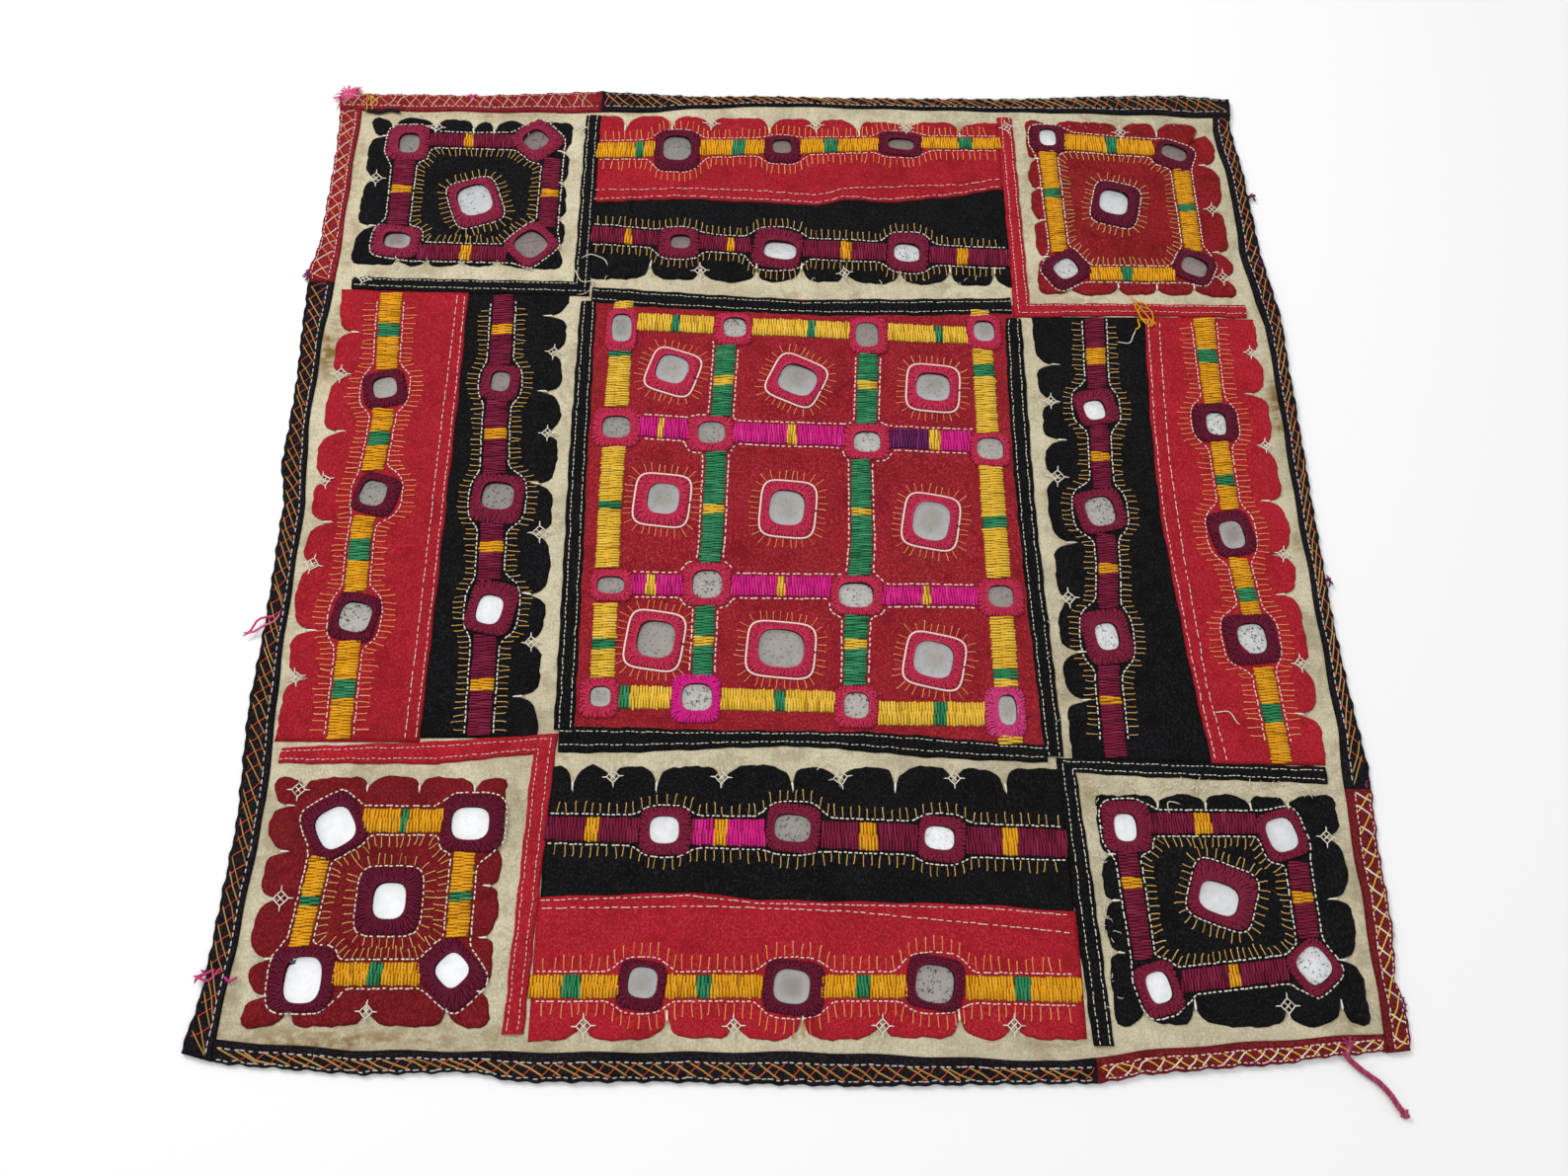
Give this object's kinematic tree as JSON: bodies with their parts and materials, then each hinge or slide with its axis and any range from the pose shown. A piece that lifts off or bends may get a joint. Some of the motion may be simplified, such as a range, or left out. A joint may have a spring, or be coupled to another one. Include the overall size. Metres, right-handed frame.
{
  "type": "mirror-work wall hanging",
  "caption": "Square embroidered cloth of pieced red and black panels on cream cotton, with small round mirrors, stitched bars and a two-colour binding, lying flat.",
  "frame": {"origin": "middle of the outline, on the surface that the back lies on", "axes": "+Z out of the embroidered face, +Y towards the top edge, +X to the right as the face is seen"},
  "size_m": [0.5272, 0.543, 0.0059],
  "materials": {
    "cream_cotton": "plain weave, unbleached, stained",
    "centre_cloth": "plain weave, matt",
    "red_cloth": "plain weave, matt",
    "deep_red_cloth": "plain weave, matt",
    "black_cloth": "plain weave, matt",
    "binding_red": "plain weave, worn",
    "binding_black": "plain weave, worn",
    "pink_yarn": "frayed cotton yarn",
    "cream_thread": "plied cotton thread",
    "gold_thread": "floss, soft sheen",
    "green_thread": "floss, soft sheen",
    "maroon_thread": "floss, soft sheen",
    "magenta_thread": "floss, soft sheen",
    "orange_thread": "plied cotton thread",
    "mirror_glass": "old silvered glass, foxed"
  },
  "bodies": {
    "root": {"binding_bottom_black": "binding_black", "binding_bottom_red": "binding_red", "binding_left_black": "binding_black", "binding_left_red": "binding_red", "binding_right_black": "binding_black", "binding_right_red": "binding_red", "binding_top_black": "binding_black", "binding_top_red": "binding_red", "block_bottom_left": "deep_red_cloth", "block_bottom_right": "black_cloth", "block_top_left": "black_cloth", "block_top_right": "deep_red_cloth", "border_bottom_left": "red_cloth", "border_bottom_right": "black_cloth", "border_top_left": "black_cloth", "border_top_right": "red_cloth", "centre_panel": "centre_cloth", "corner_tail": "pink_yarn", "corner_tuft": "pink_yarn", "frame_bottom": "black_cloth", "frame_left": "black_cloth", "frame_right": "black_cloth", "frame_top": "black_cloth", "ground_cloth": "cream_cotton", "mirror_block_bottom_left_1": "mirror_glass", "mirror_block_bottom_left_2": "mirror_glass", "mirror_block_bottom_left_3": "mirror_glass", "mirror_block_bottom_left_4": "mirror_glass", "mirror_block_bottom_left_5": "mirror_glass", "mirror_block_bottom_right_2": "mirror_glass", "mirror_block_bottom_right_3": "mirror_glass", "mirror_block_bottom_right_5": "mirror_glass", "mirror_block_top_left_4": "mirror_glass", "mirror_block_top_left_5": "mirror_glass", "mirror_block_top_right_5": "mirror_glass", "mirror_centre_panel_11": "mirror_glass", "mirror_centre_panel_17": "mirror_glass", "mirror_centre_panel_18": "mirror_glass", "mirror_centre_panel_19": "mirror_glass", "mirror_centre_panel_20": "mirror_glass", "mirror_centre_panel_21": "mirror_glass", "mirror_centre_panel_22": "mirror_glass", "mirror_centre_panel_23": "mirror_glass", "mirror_centre_panel_24": "mirror_glass", "mirror_centre_panel_25": "mirror_glass", "mirror_strip_bottom_red_2": "mirror_glass", "mirror_strip_bottom_red_3": "mirror_glass", "mirror_strip_left_black_2": "mirror_glass", "mirror_strip_left_red_3": "mirror_glass", "mirror_strip_right_black_2": "mirror_glass", "mirror_strip_right_red_3": "mirror_glass", "mirror_strip_top_red_1": "mirror_glass", "strip_bottom_black": "black_cloth", "strip_bottom_red": "red_cloth", "strip_left_black": "black_cloth", "strip_left_red": "red_cloth", "strip_right_black": "black_cloth", "strip_right_red": "red_cloth", "strip_top_black": "black_cloth", "strip_top_red": "red_cloth"}
  },
  "joints": []
}
